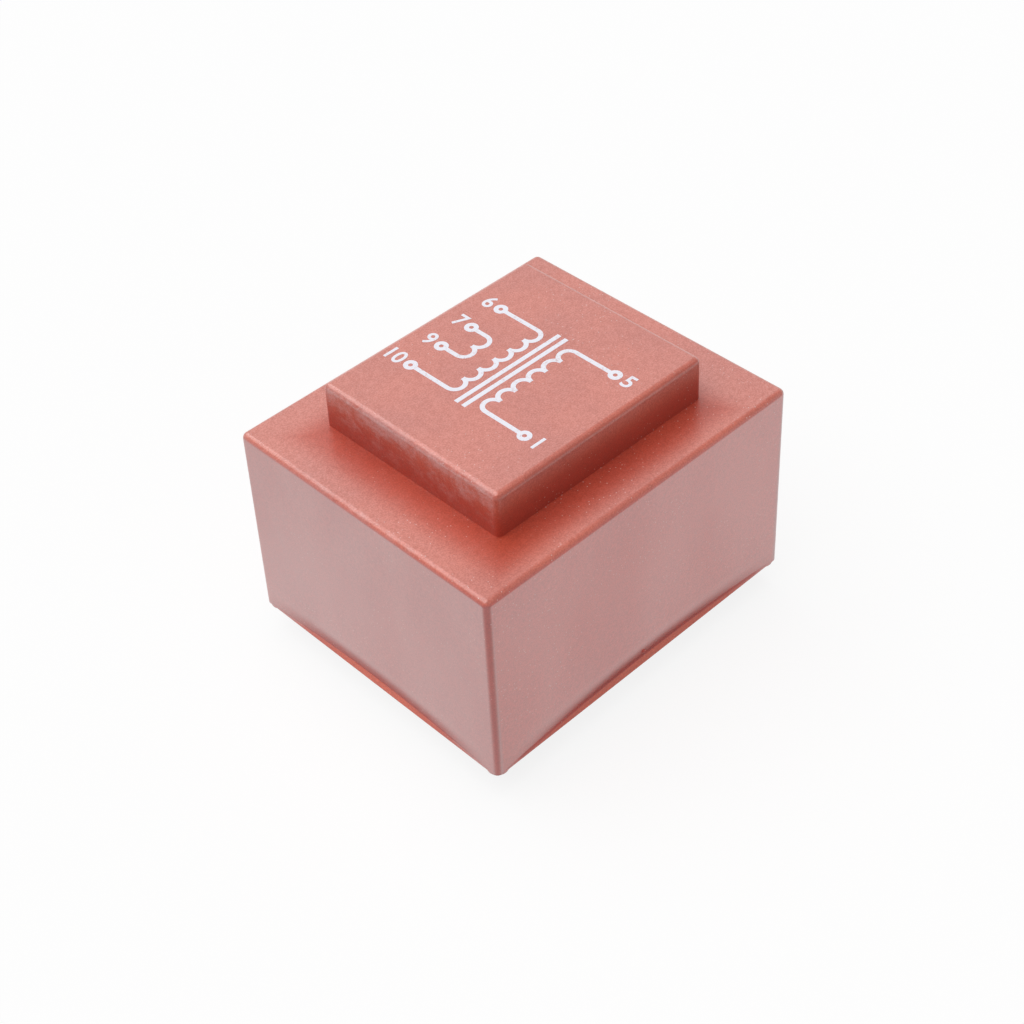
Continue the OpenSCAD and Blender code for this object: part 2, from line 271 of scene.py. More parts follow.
# %% [markdown]
# ## From a bmesh to a finished piece
# Each piece becomes an object at the origin with its place in its mesh, is shaded smooth except at its
# real edges, rides on the frame, and gets its material.
# One helper does this for all pieces. A weighted normal modifier keeps the flats flat beside the
# small rounded edges.

# %% Helper that finishes a piece
def finish_piece(name, mesh, material, smooth_to=32):
    mesh.shade_smooth()
    mesh.set_sharp_from_angle(angle=math.radians(smooth_to))
    piece = bpy.data.objects.new(name, mesh)
    bpy.context.scene.collection.objects.link(piece)
    mesh.materials.clear()
    mesh.materials.append(material)
    weights = piece.modifiers.new("flats stay flat", "WEIGHTED_NORMAL")
    weights.keep_sharp = True
    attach(piece, "root")
    print(name, len(mesh.polygons), "faces")
    return piece


# %% [markdown]
# ## A small kit for materials
# A material is a graph of nodes. These helpers add one node each, so that a finish reads as a short
# list of what is done to the surface. All patterns read Object coordinates in metres, which stay
# with the piece from every side, so a scale of 1000 gives features of about a millimetre.

# %% Node helpers
def new_finish(name):
    """An empty material with a Principled shader; returns (material, tree, shader, coordinates)."""
    material = bpy.data.materials.new(name)
    material.use_nodes = True
    tree = material.node_tree
    shader = tree.nodes["Principled BSDF"]
    place = tree.nodes.new("ShaderNodeTexCoord").outputs["Object"]
    return material, tree, shader, place


def plug(tree, value, socket):
    """Feeds a socket from another one, or sets it to a plain number or colour."""
    if isinstance(value, bpy.types.NodeSocket):
        tree.links.new(value, socket)
    else:
        socket.default_value = value


def maths(tree, operation, *values):
    """One node of arithmetic, such as ADD or MAXIMUM, on sockets or plain numbers."""
    node = tree.nodes.new("ShaderNodeMath")
    node.operation = operation
    for value, socket in zip(values, node.inputs):
        plug(tree, value, socket)
    return node.outputs["Value"]


def product(tree, first, *others):
    """All values multiplied together."""
    for value in others:
        first = maths(tree, "MULTIPLY", first, value)
    return first


def inverse(tree, share):
    """What a share leaves of 1."""
    return maths(tree, "SUBTRACT", 1.0, share)


def between(tree, value, low, high, start=0.0, end=1.0):
    """Maps low..high to start..end with soft ends."""
    node = tree.nodes.new("ShaderNodeMapRange")
    node.interpolation_type = "SMOOTHSTEP"
    plug(tree, value, node.inputs["Value"])
    node.inputs["From Min"].default_value = low
    node.inputs["From Max"].default_value = high
    node.inputs["To Min"].default_value = start
    node.inputs["To Max"].default_value = end
    return node.outputs["Result"]


# %% Node helpers for patterns and places
def noise(tree, place, scale, detail=2.0, roughness=0.5):
    """Soft random clouds from 0 to 1, mostly near a half."""
    node = tree.nodes.new("ShaderNodeTexNoise")
    node.inputs["Scale"].default_value = scale
    node.inputs["Detail"].default_value = detail
    node.inputs["Roughness"].default_value = roughness
    tree.links.new(place, node.inputs["Vector"])
    return node.outputs["Fac"]


def specks(tree, place, scale, radius):
    """Small round specks: the cells of a loose pattern whose centres lie near the surface."""
    cells = tree.nodes.new("ShaderNodeTexVoronoi")
    cells.inputs["Scale"].default_value = scale
    tree.links.new(place, cells.inputs["Vector"])
    return between(tree, cells.outputs["Distance"], radius * 0.6, radius, 1, 0)


def stretched(tree, place, scale):
    """Coordinates that make a pattern longer along the axes with a small factor."""
    node = tree.nodes.new("ShaderNodeMapping")
    node.inputs["Scale"].default_value = scale
    tree.links.new(place, node.inputs["Vector"])
    return node.outputs["Vector"]


def shifted(tree, place, step):
    """Coordinates moved by a fixed step."""
    node = tree.nodes.new("ShaderNodeVectorMath")
    node.operation = "ADD"
    node.inputs[1].default_value = step
    tree.links.new(place, node.inputs[0])
    return node.outputs[0]


def coordinate(tree, place, axis):
    node = tree.nodes.new("ShaderNodeSeparateXYZ")
    tree.links.new(place, node.inputs["Vector"])
    return node.outputs[axis]


# %% Node helpers for colour and relief
def blend_colours(tree, factor, first, second):
    """The first colour where the factor is 0, the second where it is 1."""
    node = tree.nodes.new("ShaderNodeMix")
    node.data_type = "RGBA"
    plug(tree, factor, node.inputs["Factor"])
    sides = [socket for socket in node.inputs if socket.type == "RGBA"]
    plug(tree, first, sides[0])
    plug(tree, second, sides[1])
    return next(socket for socket in node.outputs if socket.type == "RGBA")


def shaded(tree, colour, shade):
    """Multiplies a colour by a plain number."""
    node = tree.nodes.new("ShaderNodeVectorMath")
    node.operation = "SCALE"
    tree.links.new(colour, node.inputs[0])
    tree.links.new(shade, node.inputs["Scale"])
    return node.outputs["Vector"]


def relief(tree, shader, height, depth, strength=1.0):
    """Bumps on the shader's normal; depth is in metres."""
    node = tree.nodes.new("ShaderNodeBump")
    node.inputs["Strength"].default_value = strength
    node.inputs["Distance"].default_value = depth
    tree.links.new(height, node.inputs["Height"])
    tree.links.new(node.outputs["Normal"], shader.inputs["Normal"])


# %% [markdown]
# ## Where on the case a point lies
# Shrinkage, handling and dust treat each part of a moulding in its own way, so its one material has
# to know which part it is on. Painted masks would be image textures. The case is simple enough to
# work its parts out from a point's own coordinates and the sizes that the shell was built from.
# Each function below gives masks that run softly from 0 outside a zone to 1 inside it.

# %% Distances, and the zones of the walls
WALL_TOP = (ledge_z - 0.7 * MM, ledge_z - 0.2 * MM)
END_WALL = (-1.3 * MM, -0.7 * MM)


def past_faces(tree, place, axis, span):
    """How far a point is beyond two faces that stand span apart; negative between them."""
    away = maths(tree, "ABSOLUTE", coordinate(tree, place, axis))
    return maths(tree, "SUBTRACT", away, span / 2)


def outside_box(tree, place, length, width):
    """How far a point is outside a box seen from above; negative inside."""
    gaps = [past_faces(tree, place, axis, span) for axis, span in (("X", length), ("Y", width))]
    return maths(tree, "MAXIMUM", *gaps)


def wall_zones(tree, place):
    """The four outer walls, and the two short ones among them."""
    on_wall = between(tree, coordinate(tree, place, "Z"), *WALL_TOP, 1, 0)
    on_end = between(tree, past_faces(tree, place, "X", case_l), *END_WALL)
    return on_wall, product(tree, on_wall, on_end)


# %% Painted shade round the crown's foot
EDGE_BLEND = 0.1 * MM
FOOT_SHADE_REACH = 6 * MM
FOOT_SHADE_ON_LEDGE = 0.75
FOOT_SHADE_BELOW_ROLL = 0.55
FOOT_SHADE_LEAN = (1.6 * MM, 1.6 * MM, 0)


def crown_foot_shade(tree, place):
    """The crown's sides, most at their foot, and the ledge beside them; nothing of the crown's top.
    The case's colour paints shade here.
    """
    height = coordinate(tree, place, "Z")
    above_ledge = between(tree, height, ledge_z, ledge_z + EDGE_BLEND)
    foot_part = ledge_z + 0.25 * crown_rise
    up_side = between(tree, height, foot_part, crown_z - edge_r, 1, FOOT_SHADE_BELOW_ROLL)
    below_top = between(tree, height, crown_z - 0.6 * edge_r, crown_z - 0.1 * edge_r, 1, 0)
    on_side = product(tree, above_ledge, maths(tree, "MINIMUM", up_side, below_top))
    # The zone reaches further out on the sides towards the -X, -Y corner, so it is measured from a
    # moved place.
    off_foot = outside_box(tree, shifted(tree, place, FOOT_SHADE_LEAN), foot_l, foot_w)
    near_foot = between(tree, off_foot, 0, FOOT_SHADE_REACH, FOOT_SHADE_ON_LEDGE, 0)
    return maths(tree, "ADD", on_side, product(tree, inverse(tree, above_ledge), near_foot))


# %% The valley above the lip, and the lip
OUTER_SKIN = (-1.2 * MM, -0.9 * MM)
LIP_TOP_BLEND = (-0.35 * MM, -0.15 * MM)
VALLEY_FADE = (0.1 * MM, 2.9 * MM)


def valley_and_lip(tree, place):
    """The valley just above the arched lip, where the wall has sunk most, and the lip itself. The
    case's colour paints shade into the valley and light onto the lip.
    """
    valley, lip = 0.0, 0.0
    for axis, other, span, across in (("X", "Y", case_l, case_w), ("Y", "X", case_w, case_l)):
        along = product(tree, coordinate(tree, place, axis), 2 / span)
        arch = inverse(tree, product(tree, along, along))
        lip_top = maths(tree, "ADD", product(tree, arch, LIP_RISE), rim_z + LIP_EDGE)
        above_lip = maths(tree, "SUBTRACT", coordinate(tree, place, "Z"), lip_top)
        past_lip = between(tree, above_lip, *LIP_TOP_BLEND)
        fading = between(tree, above_lip, *VALLEY_FADE, 1, 0)
        on_skin = between(tree, past_faces(tree, place, other, across), *OUTER_SKIN)
        on_skin = product(tree, on_skin, arch)
        valley = maths(tree, "MAXIMUM", valley, product(tree, fading, on_skin, past_lip))
        lip = maths(tree, "MAXIMUM", lip, product(tree, inverse(tree, past_lip), on_skin))
    return valley, lip


# %% Rub marks, and a painted highlight along the ledge's edge
RUB_BAND = 0.7 * MM
RUB_AND_HIGHLIGHT_ON_LEDGE = 0.5
RUB_ELSEWHERE = 0.12
RUB_NEAR_CORNER = 0.1
RUB_NEAR_TOP = 0.1
RUB_STRETCH = (1, 0.5, 0.8)
RUB_COVER = (0.44, 0.68)


def rubs_and_edge_highlight(tree, place):
    """Chalky marks on the crown's handled side and rolled edge, and on the ledge's outer edge, where
    the pale band is also a painted highlight.
    """
    height = coordinate(tree, place, "Z")
    at_crown = between(tree, outside_box(tree, place, crown_l, crown_w), -RUB_BAND, 0)
    up_crown = between(tree, height, ledge_z - 0.2 * crown_rise, crown_z - edge_r)
    at_ledge = between(tree, outside_box(tree, place, case_l, case_w), -2 * RUB_BAND, -RUB_BAND)
    up_ledge = between(tree, height, ledge_z - RUB_BAND, ledge_z - EDGE_BLEND)
    # The band at the ledge's rolled edge is partly rub marks and partly a painted highlight.
    ledge_rub_and_highlight = product(tree, at_ledge, up_ledge, RUB_AND_HIGHLIGHT_ON_LEDGE)
    proud = maths(tree, "MAXIMUM", product(tree, at_crown, up_crown), ledge_rub_and_highlight)
    from_end = maths(tree, "ADD", coordinate(tree, place, "X"), crown_l / 2)
    handled = between(tree, from_end, 0.5 * MM, 3 * MM, 1, RUB_ELSEWHERE)
    past_side = past_faces(tree, place, "Y", crown_w)
    off_corner = between(tree, past_side, -1.4 * crown_r, -0.6 * crown_r, 1, RUB_NEAR_CORNER)
    mist = noise(tree, stretched(tree, place, RUB_STRETCH), scale=620, detail=8, roughness=0.82)
    near_top = between(tree, height, ledge_z + 0.5 * crown_rise, crown_z, 0, RUB_NEAR_TOP)
    cover = between(tree, maths(tree, "ADD", mist, near_top), *RUB_COVER)
    return product(tree, proud, handled, off_corner, cover)


# %% [markdown]
# ## Red moulding plastic
# The case is a filled thermoset moulding: opaque red, satin, with a fine grain and a chalky bloom that
# turns it pale mauve where light grazes it. A rough coat with a high index of refraction gives this
# veil, and its weight says where it lies: strong on the walls, weaker on the flats, nearly gone round
# the crown's foot and in the valley above the lip. Light and shade are also painted into the red: a
# brighter red on the long walls, a paler mauve red on the end walls as a painted sheen, painted shade
# in the valley and round the crown's foot, and painted light on the lip. Clouds, mottle and grain
# break the colour up at three scales, and rub marks, partly a painted highlight along the ledge's
# edge, and dust come last, because a plain even red would look like a toy.

# %% Colours of the case
RED = (0.56, 0.085, 0.034, 1)
RED_DEEP = (0.50, 0.070, 0.028, 1)
# Painted light and sheen: a brighter red for the long walls, and a paler mauve red for the end walls
# that stands in for a sheen.
RED_WALL_PAINTED_LIGHT = (0.64, 0.070, 0.052, 1)
RED_END_PAINTED_SHEEN = (0.43, 0.080, 0.076, 1)
# Painted light: a brighter orange red for the lip.
RED_LIP_PAINTED_LIGHT = (0.74, 0.160, 0.095, 1)
# Painted shade: a dark red for the valley above the lip.
RED_VALLEY_PAINTED_SHADE = (0.40, 0.034, 0.018, 1)
# Painted shade: a dark red round the crown's foot.
RED_FOOT_SHADE = (0.40, 0.030, 0.016, 1)
CHALK = (0.70, 0.50, 0.50, 1)
DUST = (0.80, 0.70, 0.67, 1)
CLOUD_SPAN = (0.35, 0.65)
TONE_SPAN = (0.34, 0.66)
TONE_SHADES = (0.88, 1.12)
DRIFT_SPAN = (0.46, 0.62)
DUST_BETWEEN_DRIFTS = 0.2
DUST_ON_WALLS = 0.8


def case_colour(tree, place, tone, walls, foot_shade, valley_lip):
    """The red, zone by zone, with painted light and shade, clouds, rub marks and the shade of the
    grain.
    """
    on_wall, on_end = walls
    valley, lip = valley_lip
    clouds = noise(tree, place, scale=90, detail=3)
    colour = blend_colours(tree, between(tree, clouds, *CLOUD_SPAN), RED_DEEP, RED)
    deepened = maths(tree, "POWER", foot_shade, 1.6)
    for zone, share, over in (
        # Painted light on the long walls, and a painted sheen on the end walls.
        (on_wall, 0.7, blend_colours(tree, on_end, RED_WALL_PAINTED_LIGHT, RED_END_PAINTED_SHEEN)),
        # Painted shade in the valley.
        (valley, 0.9, RED_VALLEY_PAINTED_SHADE),
        # Painted light on the lip.
        (lip, 0.8, RED_LIP_PAINTED_LIGHT),
        # Painted shade round the crown's foot.
        (deepened, 0.7, RED_FOOT_SHADE),
        # Rub marks, and a painted highlight along the ledge's edge.
        (rubs_and_edge_highlight(tree, place), 0.42, CHALK),
    ):
        colour = blend_colours(tree, product(tree, zone, share), colour, over)
    return shaded(tree, colour, between(tree, tone, *TONE_SPAN, *TONE_SHADES))


def dust(tree, place, on_wall):
    """Fine and coarse specks that lie in drifts, thinner on the walls."""
    drifts = between(tree, noise(tree, place, scale=75), *DRIFT_SPAN, DUST_BETWEEN_DRIFTS, 1)
    drifts = product(tree, drifts, between(tree, on_wall, 0, 1, 1, DUST_ON_WALLS))
    fine = specks(tree, place, scale=1700, radius=0.14)
    coarse = product(tree, specks(tree, place, scale=520, radius=0.05), drifts)
    return product(tree, maths(tree, "MAXIMUM", fine, coarse), drifts)


# %% The bloom and the whole finish
PLASTIC_IOR = 1.6
BLOOM_IOR = 2.6
BLOOM_ROUGHNESS = 0.28
GRAIN_DEPTH = 0.03 * MM
SMEAR_STRETCH = (1, 1, 0.4)
# Layer Weight's facing from and to, and the coat's weight from and to.
WALL_VEIL = (0.3, 0.5, 0.2, 1)
FLAT_VEIL = (0.2, 0.36, 0.3, 0.7)
# The share of the coat that is left off the end walls, between smears, and inside two zones.
BLOOM_OFF_END = 0.88
BLOOM_BETWEEN_SMEARS = 0.85
BLOOM_IN_VALLEY = 0.05
BLOOM_IN_FOOT_SHADE = 0.06
WALL_GRAIN = (0.94, 1.04)
FLAT_GRAIN = (0.7, 1.3)


def case_bloom(tree, place, tone, walls, foot_shade, valley_lip):
    """How much of the chalky coat shows: more at a low angle, least in the valley and round the
    crown's foot.
    """
    on_wall, on_end = walls
    facing = tree.nodes.new("ShaderNodeLayerWeight").outputs["Facing"]
    smears = noise(tree, stretched(tree, place, SMEAR_STRETCH), scale=70, detail=3)
    wall_bloom = product(
        tree,
        between(tree, facing, *WALL_VEIL),
        between(tree, smears, *CLOUD_SPAN, BLOOM_BETWEEN_SMEARS, 1),
        between(tree, on_end, 0, 1, BLOOM_OFF_END, 1),
        between(tree, maths(tree, "MAXIMUM", *valley_lip), 0, 1, 1, BLOOM_IN_VALLEY),
        between(tree, tone, *TONE_SPAN, *WALL_GRAIN))
    flat_bloom = product(
        tree,
        between(tree, facing, *FLAT_VEIL),
        between(tree, foot_shade, 0, 1, 1, BLOOM_IN_FOOT_SHADE),
        between(tree, tone, *TONE_SPAN, *FLAT_GRAIN))
    on_flats = product(tree, inverse(tree, on_wall), flat_bloom)
    return maths(tree, "ADD", product(tree, on_wall, wall_bloom), on_flats)


def make_case_plastic():
    material, tree, shader, place = new_finish("red_moulding_plastic")
    shader.inputs["IOR"].default_value = PLASTIC_IOR
    shader.inputs["Coat IOR"].default_value = BLOOM_IOR
    shader.inputs["Coat Roughness"].default_value = BLOOM_ROUGHNESS
    mottle = noise(tree, place, scale=1400, detail=4, roughness=0.6)
    grain = noise(tree, place, scale=5200, detail=2, roughness=0.6)
    tone = maths(tree, "ADD", product(tree, mottle, 0.3), product(tree, grain, 0.7))
    walls = wall_zones(tree, place)
    zones = (tone, walls, crown_foot_shade(tree, place), valley_and_lip(tree, place))
    tree.links.new(case_bloom(tree, place, *zones), shader.inputs["Coat Weight"])
    colour = case_colour(tree, place, *zones)
    dusty = product(tree, dust(tree, place, walls[0]), 0.6)
    tree.links.new(blend_colours(tree, dusty, colour, DUST), shader.inputs["Base Color"])
    tree.links.new(between(tree, mottle, 0.3, 0.7, 0.33, 0.43), shader.inputs["Roughness"])
    relief(tree, shader, grain, depth=GRAIN_DEPTH)
    return material


case_plastic = make_case_plastic()
case_mesh = bpy.data.meshes.new("moulded_case")
case_bm.to_mesh(case_mesh)
case_bm.free()
moulded_case = finish_piece("moulded_case", case_mesh, case_plastic)
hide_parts("case")

# %% [markdown]
# ## The printed winding diagram
# The crown carries a bluish white diagram: one coil for the primary, two for the secondaries, the
# two strokes of the core between them, and the number of the pin at each end. A stroke follows a
# path, which is what Geometry Nodes do well: the paths are a curve object, and a tree sweeps a flat
# strip of ink along them. The diagram reads from the end of the case, so its up is the frame's +X.

# %% Paths of the diagram
TURN_R = 1.25 * MM
COIL_OFF_CORE = 3.2 * MM
SMALL_COIL_OFF_CORE = 6.9 * MM
CORE_GAP = 1.2 * MM
CORE_REACH = 8.6 * MM
TERMINAL_OFF_CORE = 9.6 * MM
TURN_STEPS = 14
TERMINAL_R = 0.6 * MM
RING_STEPS = 28
STROKE_WIDTH = 0.62 * MM


def on_crown(across, up):
    """A point of the diagram: across runs along the reading direction, up is the top of a digit."""
    return (up, -across, crown_z + ink_build / 2)


def half_turn(across, middle, side):
    """One turn of a coil, seen from the side: a half circle that bulges towards the core."""
    turns = [math.pi * step / TURN_STEPS for step in range(TURN_STEPS + 1)]
    return [(side * (across - TURN_R * math.sin(a)), middle - TURN_R * math.cos(a)) for a in turns]


def coil_paths(across, turns, side):
    """A row of half turns on one side of the core (1 or -1), with a lead at each end."""
    half = turns * TURN_R
    rows = [half_turn(across, (2 * turn + 1) * TURN_R - half, side) for turn in range(turns)]
    lead_end = side * (TERMINAL_OFF_CORE - TERMINAL_R)
    rows[0].insert(0, (lead_end, -half))
    rows[-1].append((lead_end, half))
    return rows


def terminal_ring(lead_end, up):
    """The small open circle that a lead ends in."""
    centre = lead_end + math.copysign(TERMINAL_R, lead_end)
    turns = [math.tau * step / RING_STEPS for step in range(RING_STEPS + 1)]
    return [(centre + TERMINAL_R * math.cos(a), up + TERMINAL_R * math.sin(a)) for a in turns]


windings = {
    "primary": (coil_paths(COIL_OFF_CORE, 6, 1), ("1", "5")),
    "outer secondary": (coil_paths(COIL_OFF_CORE, 6, -1), ("10", "6")),
    "inner secondary": (coil_paths(SMALL_COIL_OFF_CORE, 2, -1), ("9", "7")),
}
strokes = [path for paths, _ in windings.values() for path in paths]
for core_x in (-CORE_GAP / 2, CORE_GAP / 2):
    strokes.append([(core_x, -CORE_REACH), (core_x, CORE_REACH)])
strokes += [terminal_ring(*turns[end][end]) for turns, _ in windings.values() for end in (0, -1)]

path_curve = bpy.data.curves.new("diagram_paths", "CURVE")
path_curve.dimensions = "2D"
for stroke in strokes:
    spline = path_curve.splines.new("POLY")
    spline.points.add(len(stroke) - 1)
    for point, (across, up) in zip(spline.points, stroke):
        point.co = (*on_crown(across, up)[:2], 0, 1)
print("strokes:", len(strokes))


# %% [markdown]
# ## A strip of ink along each path
# Curve to Mesh sweeps a small rectangle along every path. Strips that meet would leave faces in the
# same place, which flicker and render black, so an exact boolean welds all of them into one solid
# first. The tree's inputs are the stroke's width, the ink's build and its height above the frame.

# %% Geometry Nodes: sweep a strip of ink along the paths
def strip_of_ink_tree():
    tree = bpy.data.node_groups.new("strip_of_ink", "GeometryNodeTree")
    sockets = tree.interface
    sockets.new_socket("Paths", in_out="INPUT", socket_type="NodeSocketGeometry")
    for size in ("Stroke width", "Ink build", "Height"):
        sockets.new_socket(size, in_out="INPUT", socket_type="NodeSocketFloat")
    sockets.new_socket("Ink", in_out="INPUT", socket_type="NodeSocketMaterial")
    sockets.new_socket("Strokes", in_out="OUTPUT", socket_type="NodeSocketGeometry")
    given = tree.nodes.new("NodeGroupInput").outputs
    section = tree.nodes.new("GeometryNodeCurvePrimitiveQuadrilateral")
    sweep = tree.nodes.new("GeometryNodeCurveToMesh")
    sweep.inputs["Fill Caps"].default_value = True
    lift = tree.nodes.new("ShaderNodeCombineXYZ")
    place = tree.nodes.new("GeometryNodeSetPosition")
    weld = tree.nodes.new("GeometryNodeMeshBoolean")
    weld.operation = "UNION"
    weld.solver = "EXACT"
    weld.inputs["Self Intersection"].default_value = True
    realize = tree.nodes.new("GeometryNodeRealizeInstances")
    paint = tree.nodes.new("GeometryNodeSetMaterial")
    result = tree.nodes.new("NodeGroupOutput")
    for source, target in (
        (given["Stroke width"], section.inputs["Width"]),
        (given["Ink build"], section.inputs["Height"]),
        (given["Paths"], sweep.inputs["Curve"]),
        (section.outputs["Curve"], sweep.inputs["Profile Curve"]),
        (given["Height"], lift.inputs["Z"]),
        (sweep.outputs["Mesh"], weld.inputs["Mesh 2"]),
        (weld.outputs["Mesh"], place.inputs["Geometry"]),
        (lift.outputs["Vector"], place.inputs["Offset"]),
        (place.outputs["Geometry"], realize.inputs["Geometry"]),
        (realize.outputs["Geometry"], paint.inputs["Geometry"]),
        (given["Ink"], paint.inputs["Material"]),
        (paint.outputs["Geometry"], result.inputs["Strokes"]),
    ):
        tree.links.new(source, target)
    return tree


def grown(source, tree, settings):
    """The plain mesh that a tree makes of a source object; the source is removed afterwards."""
    maker = source.modifiers.new("maker", "NODES")
    maker.node_group = tree
    for item in tree.interface.items_tree:
        if item.in_out == "INPUT" and item.name in settings:
            maker[item.identifier] = settings[item.name]
    graph = bpy.context.evaluated_depsgraph_get()
    graph.update()
    mesh = bpy.data.meshes.new_from_object(source.evaluated_get(graph), depsgraph=graph)
    bpy.data.objects.remove(source)
    return mesh


# %% [markdown]
# ## Worn white ink
# Pad printing lays down a thin film that wears where hands rub it, so the red shows through. Two
# noises, one finer than a stroke is wide and one much broader, give the film its broken cover. The
# ink is drawn as opaque geometry and the red is mixed into its colour, which also survives export.

# %% Print ink
INK_WHITE = (0.92, 0.92, 1.0, 1)
INK_THIN = (0.76, 0.62, 0.65, 1)
INK_WEAR = (0.72, 0.9)


def make_print_ink():
    material, tree, shader, place = new_finish("bluish_white_print_ink")
    shader.inputs["Specular IOR Level"].default_value = 0.5
    shader.inputs["Roughness"].default_value = 0.5
    fine_wear = noise(tree, place, scale=2600, detail=4, roughness=0.7)
    broad_wear = product(tree, noise(tree, place, scale=160), 0.35)
    worn = maths(tree, "ADD", fine_wear, broad_wear)
    cover = between(tree, worn, *INK_WEAR, 1, 0)
    tree.links.new(blend_colours(tree, cover, INK_THIN, INK_WHITE), shader.inputs["Base Color"])
    relief(tree, shader, noise(tree, place, scale=3600, detail=3), depth=0.01 * MM, strength=0.4)
    return material


print_ink = make_print_ink()
stroke_source = bpy.data.objects.new("diagram_paths", path_curve)
bpy.context.scene.collection.objects.link(stroke_source)
stroke_mesh = grown(stroke_source, strip_of_ink_tree(), {
    "Stroke width": STROKE_WIDTH, "Ink build": ink_build,
    "Height": crown_z + ink_build / 2, "Ink": print_ink})
winding_diagram = finish_piece("winding_diagram", stroke_mesh, print_ink)
print("diagram height in mm:", round(max(v.co.z for v in stroke_mesh.vertices) / MM, 3))

# %% [markdown]
# ## Pin numbers
# A number stands beyond each lead's ring. Text objects give clean digits. They are turned into
# meshes before they are placed, because a finished piece keeps its place in its vertices. Each one
# is aligned on its ring's side, so that one digit or two keep the same gap to the ring. The font's
# offset thickens the digits a little, and much more of it would break their closed shapes.

# %% Numbers
DIGIT_HEIGHT = 3.1 * MM
DIGIT_SWELL = 0.06 * MM
NUMBER_GAP = 0.7 * MM
up_is_x = Matrix(((0, 1, 0, 0), (-1, 0, 0, 0), (0, 0, 1, 0), (0, 0, 0, 1)))


def number_mesh(bm, text, across, up):
    """Adds one number to a bmesh: it starts or ends at its point, on the side away from the core."""
    font = bpy.data.curves.new("number", "FONT")
    font.body = text
    font.size = DIGIT_HEIGHT
    font.offset = DIGIT_SWELL
    font.extrude = ink_build / 2
    font.align_x = "LEFT" if across > 0 else "RIGHT"
    font.align_y = "CENTER"
    holder = bpy.data.objects.new("number", font)
    bpy.context.scene.collection.objects.link(holder)
    bpy.context.view_layer.update()
    mesh = bpy.data.meshes.new_from_object(holder)
    bpy.data.objects.remove(holder)
    mesh.transform(Matrix.Translation(on_crown(across, up)) @ up_is_x)
    bm.from_mesh(mesh)


number_bm = bmesh.new()
for turns, pins in windings.values():
    for pin, (across, up) in zip(pins, (turns[0][0], turns[-1][-1])):
        number_mesh(number_bm, pin, across + math.copysign(2 * TERMINAL_R + NUMBER_GAP, across), up)
number_data = bpy.data.meshes.new("pin_numbers")
number_bm.to_mesh(number_data)
number_bm.free()
pin_numbers = finish_piece("pin_numbers", number_data, print_ink)


# %% [markdown]
# ## Finishes of the other pieces
# The pieces below the case keep their CAD solids. Cast resin sets with a gently rolling, half
# glossy face. Pins are drawn wire with fine lines along them and a soft tin coat, solder is a
# brighter tin that froze wet, the windings are lacquered copper, the tape is yellow polyester, the
# former is black glass-filled plastic, and the core is bare stamped steel. Each gets its own graph.

# %% Graphs of the resin, the metals and the plain finishes
RESIN_DARK = (0.010, 0.0098, 0.0095, 1)
RESIN_LIGHT = (0.022, 0.021, 0.020, 1)
RESIN_FLECK = (0.12, 0.12, 0.12, 1)
STAIN_SHADE = 0.72


def make_resin():
    material, tree, shader, place = new_finish("black_potting_resin")
    shader.inputs["Specular IOR Level"].default_value = 0.5
    clouds = noise(tree, place, scale=140, detail=3)
    fleck = between(tree, noise(tree, place, scale=2600), 0.7, 0.78)
    colour = blend_colours(tree, clouds, RESIN_DARK, RESIN_LIGHT)
    colour = blend_colours(tree, product(tree, fleck, 0.3), colour, RESIN_FLECK)
    tree.links.new(colour, shader.inputs["Base Color"])
    tree.links.new(between(tree, clouds, 0.3, 0.7, 0.22, 0.38), shader.inputs["Roughness"])
    ripple = product(tree, noise(tree, place, scale=1500), 0.04)
    swell = maths(tree, "ADD", noise(tree, place, scale=180, detail=1), ripple)
    relief(tree, shader, swell, depth=0.25 * MM, strength=0.5)
    return material


def make_metal(name, colour, along, smooth, rough):
    """Bare metal with fine lines, drawn out as the three factors of along say, and dull stains."""
    material, tree, shader, place = new_finish(name)
    shader.inputs["Metallic"].default_value = 1
    lines = noise(tree, stretched(tree, place, along), scale=900, detail=3, roughness=0.6)
    stain = between(tree, noise(tree, place, scale=700, detail=3), 0.35, 0.7)
    dull = (*(STAIN_SHADE * c for c in colour[:3]), 1)
    tree.links.new(blend_colours(tree, stain, colour, dull), shader.inputs["Base Color"])
    tree.links.new(between(tree, lines, 0.3, 0.7, smooth, rough), shader.inputs["Roughness"])
    relief(tree, shader, lines, depth=0.01 * MM, strength=0.3)
    return material


def make_plain(name, dark, light, scale, smooth, depth):
    """A dull engineering finish: two close tones, a grain and an uneven gloss."""
    material, tree, shader, place = new_finish(name)
    tone = noise(tree, place, scale, detail=4, roughness=0.6)
    tree.links.new(blend_colours(tree, tone, dark, light), shader.inputs["Base Color"])
    tree.links.new(between(tree, tone, 0.3, 0.7, smooth, smooth + 0.15), shader.inputs["Roughness"])
    relief(tree, shader, noise(tree, place, 3 * scale), depth, strength=0.4)
    return material


# %% The finishes
ALONG_PIN = (6, 6, 0.4)
ALONG_SHEET = (1, 8, 1)
EVERY_WAY = (1, 1, 1)
TAPE_TONES = ((0.60, 0.42, 0.05, 1), (0.70, 0.52, 0.09, 1))
FORMER_TONES = ((0.035, 0.038, 0.044, 1), (0.055, 0.058, 0.066, 1))

